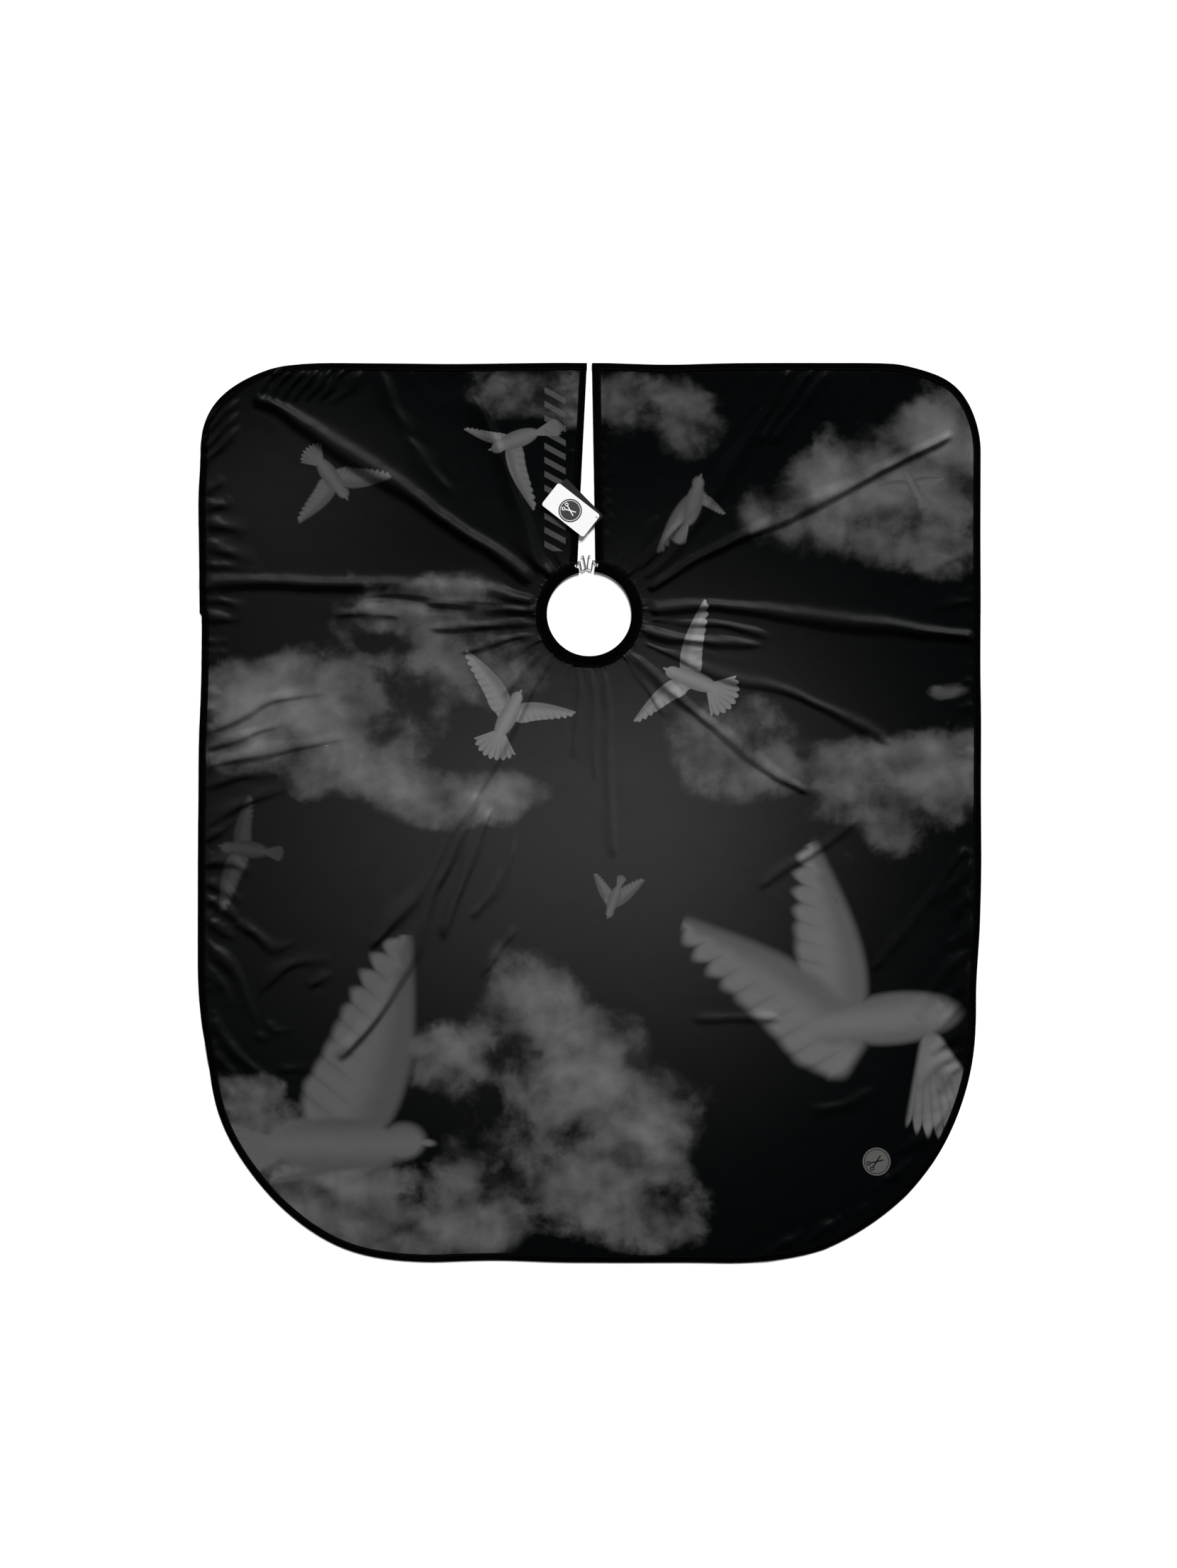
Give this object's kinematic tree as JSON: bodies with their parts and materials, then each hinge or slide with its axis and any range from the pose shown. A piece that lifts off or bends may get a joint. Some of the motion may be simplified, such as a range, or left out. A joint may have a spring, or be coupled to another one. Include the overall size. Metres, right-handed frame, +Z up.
{
  "type": "hairdressing cape",
  "caption": "Hairdressing cape laid flat: rectangular printed cloth with rounded hem, bound edges, back slit, elastic neckband with wire hooks, and hang tags on a pin.",
  "frame": {"origin": "centre of the neck opening, on the plane of the underside that lies on the table", "axes": "+Z up out of the printed side, along the neck opening; +Y from the neck to the back edge where the slit opens; +X to the right seen from above with +Y up the page"},
  "size_m": [1.398, 1.606, 0.007],
  "materials": {
    "printed_cloth": "satin",
    "edge_tape": "matte",
    "band_tape": "matte",
    "elastic_core": "matte",
    "hook_wire": "satin",
    "white_card": "matte",
    "black_card": "satin",
    "pin_nylon": "satin",
    "black_thread": "matte"
  },
  "bodies": {
    "cape": {"cape_panel": "printed_cloth", "outer_binding": "edge_tape", "left_slit_binding": "edge_tape", "right_slit_binding": "edge_tape", "neckband_casing": "band_tape", "neckband_elastic": "elastic_core", "tag_pin": "pin_nylon", "outer_binding_stitching": "black_thread", "left_slit_stitching": "black_thread", "right_slit_stitching": "black_thread", "neckband_stitching": "black_thread", "left_bartack": "black_thread", "right_bartack": "black_thread"},
    "left_hook": {"left_hook": "hook_wire"},
    "right_hook": {"right_hook": "hook_wire"},
    "white_tag": {"white_hang_tag": "white_card"},
    "black_tag": {"black_hang_tag": "black_card"}
  },
  "joints": [
    {"name": "left_hook_swing", "type": "hinge", "parent": "cape", "child": "left_hook", "pos_m": [-0.02245, 0.08102, 0.0024], "axis": [0.2267, -0.974, 0], "range_deg": [0, 110]},
    {"name": "right_hook_swing", "type": "hinge", "parent": "cape", "child": "right_hook", "pos_m": [0.01328, 0.08302, 0.0024], "axis": [0.1167, 0.9932, 0], "range_deg": [0, 110]},
    {"name": "white_tag_turn", "type": "hinge", "parent": "cape", "child": "white_tag", "pos_m": [0.01375, 0.1747, 0.0054], "axis": [0, 0, 1], "continuous": true},
    {"name": "black_tag_turn", "type": "hinge", "parent": "cape", "child": "black_tag", "pos_m": [0.01375, 0.1747, 0.0047], "axis": [0, 0, 1], "continuous": true}
  ]
}
